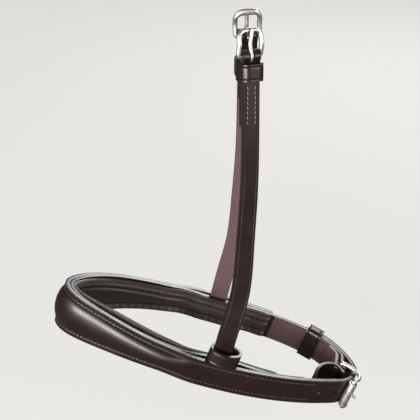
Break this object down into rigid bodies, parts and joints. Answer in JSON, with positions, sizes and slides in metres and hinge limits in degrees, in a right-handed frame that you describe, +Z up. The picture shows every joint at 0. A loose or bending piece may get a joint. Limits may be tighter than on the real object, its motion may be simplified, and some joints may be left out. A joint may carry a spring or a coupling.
{
  "type": "cavesson noseband",
  "caption": "Padded leather noseband loop with a roller buckle at the chin and a buckled hanging strap on each side.",
  "frame": {"origin": "middle of the loop's opening, where the muzzle sits", "axes": "+Z up along the hanging straps, -X to the nose end, -Y to the near side"},
  "size_m": [0.2305, 0.0917, 0.3014],
  "materials": {
    "bridle_leather": "glossy dark brown bridle leather",
    "soft_leather": "soft dark brown leather",
    "filler": "pressed felt",
    "foam": "soft foam",
    "steel": "polished stainless steel"
  },
  "bodies": {
    "noseband": {"outer_strap": "bridle_leather", "nose_core": "filler", "base_strap": "bridle_leather", "padding_foam": "foam", "lining": "soft_leather", "chin_guard": "soft_leather", "near_hanger_tail": "bridle_leather", "far_hanger_tail": "bridle_leather"},
    "chin_frame": {"chin_buckle_frame": "steel"},
    "chin_roller": {"chin_roller": "steel"},
    "chin_tongue": {"chin_tongue": "steel"},
    "chin_keeper": {"chin_keeper": "bridle_leather"},
    "near_ring": {"near_ring_keeper": "bridle_leather"},
    "near_strap": {"near_hanger": "bridle_leather", "near_hanger_keeper": "bridle_leather"},
    "far_strap": {"far_hanger": "bridle_leather", "far_hanger_keeper": "bridle_leather"},
    "near_frame": {"near_buckle_frame": "steel"},
    "far_frame": {"far_buckle_frame": "steel"},
    "near_tongue": {"near_buckle_tongue": "steel"},
    "far_tongue": {"far_buckle_tongue": "steel"}
  },
  "joints": [
    {"name": "chin_frame_swivel", "type": "hinge", "parent": "noseband", "child": "chin_frame", "pos_m": [0.09851, -0.0063, -0.03239], "axis": [0.3123, 0, 0.95], "range_deg": [-2, 2]},
    {"name": "chin_roller_spin", "type": "hinge", "parent": "chin_frame", "child": "chin_roller", "pos_m": [0.10538, -0.02495, -0.03465], "axis": [0.3123, 0, 0.95], "continuous": true},
    {"name": "chin_tongue_turn", "type": "hinge", "parent": "chin_frame", "child": "chin_tongue", "pos_m": [0.09851, -0.0063, -0.03239], "axis": [0.3123, 0, 0.95], "range_deg": [0, 2.5]},
    {"name": "chin_keeper_slide", "type": "hinge", "parent": "noseband", "child": "chin_keeper", "pos_m": [0.05346, -0.0347, -0.01758], "axis": [0.3123, 0, 0.95], "range_deg": [-0.82, 6.57]},
    {"name": "near_ring_slide", "type": "slide", "parent": "noseband", "child": "near_ring", "axis": [0.3123, 0, 0.95], "range_m": [0, 0.004]},
    {"name": "near_strap_fold", "type": "hinge", "parent": "noseband", "child": "near_strap", "pos_m": [0.01246, -0.03886, 0.02643], "axis": [0.9774, 0.0037, -0.2113], "range_deg": [0, 90]},
    {"name": "far_strap_fold", "type": "hinge", "parent": "noseband", "child": "far_strap", "pos_m": [0.01224, 0.04059, 0.0265], "axis": [-0.9768, 0.0318, 0.2117], "range_deg": [0, 90]},
    {"name": "near_frame_swivel", "type": "hinge", "parent": "near_strap", "child": "near_frame", "pos_m": [0.02583, -0.00668, 0.22376], "axis": [0.8938, 0.4438, -0.0646], "range_deg": [-5, 40]},
    {"name": "far_frame_swivel", "type": "hinge", "parent": "far_strap", "child": "far_frame", "pos_m": [0.02496, 0.00654, 0.23285], "axis": [-0.9852, -0.1666, -0.0412], "range_deg": [-5, 40]},
    {"name": "near_tongue_turn", "type": "hinge", "parent": "near_frame", "child": "near_tongue", "pos_m": [0.02583, -0.00668, 0.22376], "axis": [0.8938, 0.4438, -0.0646], "range_deg": [0, 40]},
    {"name": "far_tongue_turn", "type": "hinge", "parent": "far_frame", "child": "far_tongue", "pos_m": [0.02496, 0.00654, 0.23285], "axis": [-0.9852, -0.1666, -0.0412], "range_deg": [0, 40]}
  ]
}
